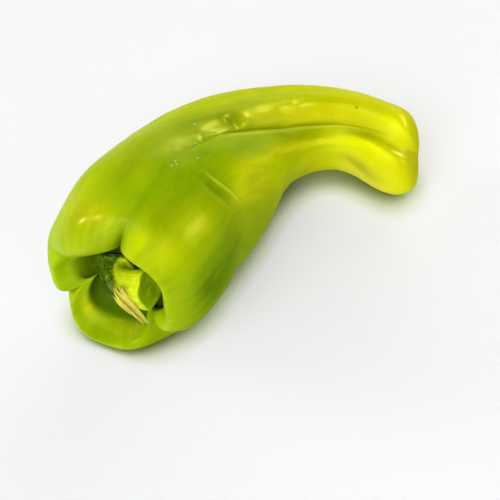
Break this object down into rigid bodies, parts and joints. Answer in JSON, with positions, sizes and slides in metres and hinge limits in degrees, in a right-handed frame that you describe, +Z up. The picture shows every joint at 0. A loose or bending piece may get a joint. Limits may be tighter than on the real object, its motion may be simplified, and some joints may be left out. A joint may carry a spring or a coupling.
{
  "type": "cubanelle pepper",
  "caption": "Long sweet pepper lying on its side, bent towards its blunt tip, with a lobed stem end round a short green stalk.",
  "frame": {"origin": "middle of the pepper's footprint box on the surface it lies on", "axes": "+Z up from the surface, +X along the pepper's long way from the stem end to the tip, -Y to the side that the stem end opens to"},
  "size_m": [0.1298, 0.1162, 0.0632],
  "materials": {
    "skin": "waxy yellow-green skin",
    "stem": "fresh green, finely ribbed",
    "stem_fibre": "dry straw-coloured fibre"
  },
  "bodies": {
    "root": {"pod": "skin", "stem": "stem", "stem_fibre": "stem_fibre"}
  },
  "joints": []
}
